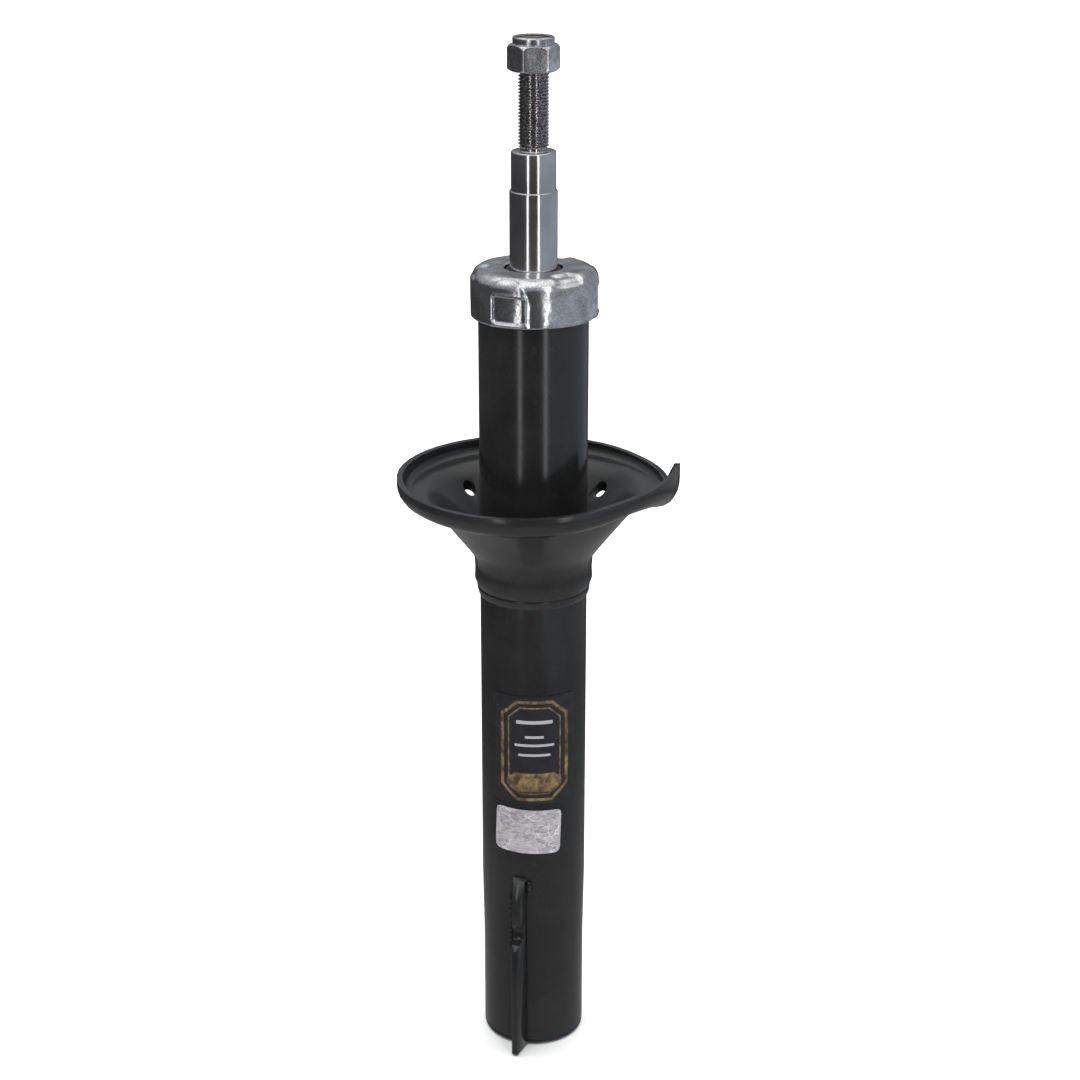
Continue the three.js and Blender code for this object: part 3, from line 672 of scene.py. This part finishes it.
add_rod()
add_nut()
add_cap()
add_bead("seat_weld_bead", SEAT_BEAD, ["seat_weld"], ripples=75, depth=0.22)
add_bead("base_weld_bead", BASE_BEAD, ["base_weld"], ripples=60, depth=0.25)
add_key_weld("key_weld_bead_left", -1, 49.5, 87.5, ["key_weld_left"])
add_key_weld("key_weld_bead_right", 1, 86.5, 94.5, ["key_weld_right"])
add_check_spring("intake_spring", "barrel")
add_check_spring("piston_check_spring", "rod")


# ---------------------------------------------------------------- studio

CAMERA_AT = (0, -0.9889, 0.6344)
CAMERA_TILT = 20.5
CAMERA_SHIFT = 0.006
CAMERA_LENS = 73.67
# Two upright strips of light, each by its place and power: they draw the streaks down the tube and the rod.
STRIPS = {"strip_left": ((-0.39, -0.755, 0.55), 1.0), "strip_right": ((0.35, -0.77, 0.55), 1.1)}
STRIP_SIZE = (0.10, 1.1)
STRIP_TARGET = (0, 0, 0.3)
SUN = {"power": 3.3, "spread": 70, "lean": -8}
FLOOR_HALF = 30
# The floor lies this far under the strut, in metres, so that the two never share a plane.
FLOOR_DROP = 0.0005


def add_camera():
    data = bpy.data.cameras.new("camera")
    data.sensor_width = 36
    data.lens = CAMERA_LENS
    data.shift_x = CAMERA_SHIFT
    data.clip_start = 0.01
    camera = bpy.data.objects.new("camera", data)
    camera.location = CAMERA_AT
    camera.rotation_euler = (math.radians(90 - CAMERA_TILT), 0, 0)
    bpy.context.scene.collection.objects.link(camera)
    bpy.context.scene.camera = camera


def add_strip(name, place, power):
    data = bpy.data.lights.new(name, "AREA")
    data.shape = "RECTANGLE"
    data.size, data.size_y = STRIP_SIZE
    data.energy = power
    light = bpy.data.objects.new(name, data)
    light.location = place
    light.rotation_euler = (Vector(STRIP_TARGET) - Vector(place)).to_track_quat("-Z", "Y").to_euler()
    light.visible_camera = False
    bpy.context.scene.collection.objects.link(light)


def add_floor():
    mesh = bpy.data.meshes.new("floor")
    r = FLOOR_HALF
    mesh.from_pydata([(-r, -r, 0), (r, -r, 0), (r, r, 0), (-r, r, 0)], [], [(0, 1, 2, 3)])
    floor = bpy.data.objects.new("floor", mesh)
    paper = bpy.data.materials.new("floor")
    paper.use_nodes = True
    sockets = paper.node_tree.nodes["Principled BSDF"].inputs
    sockets["Base Color"].default_value = grey(0.86)
    sockets["Roughness"].default_value = 0.9
    sockets["Specular IOR Level"].default_value = 0.1
    mesh.materials.append(paper)
    floor.location.z = -FLOOR_DROP
    floor.visible_glossy = False
    bpy.context.scene.collection.objects.link(floor)


def add_world():
    """A studio that is dark to the left, cool grey to the right and bright overhead, on a white backdrop."""
    world = bpy.data.worlds.new("world")
    world.use_nodes = True
    n = Nodes(world.node_tree)
    background = world.node_tree.nodes["Background"]
    split = n.tree.nodes.new("ShaderNodeSeparateXYZ")
    n.put(split.inputs[0], n.add("ShaderNodeTexCoord", output=0))
    x, z = split.outputs[0], split.outputs[2]
    dark = (0.064, 0.064, 0.068, 1)
    right = n.mix(n.remap(z, -0.40, -0.25), (0.14, 0.15, 0.16, 1), (0.37, 0.405, 0.445, 1))
    colour = n.mix(n.remap(x, 0.40, 0.62), dark, right)
    colour = n.mix(n.remap(z, -0.54, -0.40, 1.0, 0.0), colour, (0.36, 0.36, 0.365, 1))
    colour = n.mix(n.remap(z, 0.0, 0.4), colour, (0.36, 0.375, 0.39, 1))
    colour = n.mix(n.remap(z, 0.5, 0.95), colour, grey(1.35))
    backdrop = n.mix(n.add("ShaderNodeLightPath"), colour, grey(1.0))
    n.put(background.inputs["Color"], backdrop)
    bpy.context.scene.world = world


def add_sun():
    data = bpy.data.lights.new("sun", "SUN")
    data.energy = SUN["power"]
    data.angle = math.radians(SUN["spread"])
    sun = bpy.data.objects.new("sun", data)
    sun.rotation_euler = (math.radians(SUN["lean"]), 0, 0)
    sun.visible_glossy = False
    bpy.context.scene.collection.objects.link(sun)


add_camera()
add_floor()
add_world()
add_sun()
for strip, (place, power) in STRIPS.items():
    add_strip(strip, place, power)
bpy.context.scene.view_settings.view_transform = "Standard"
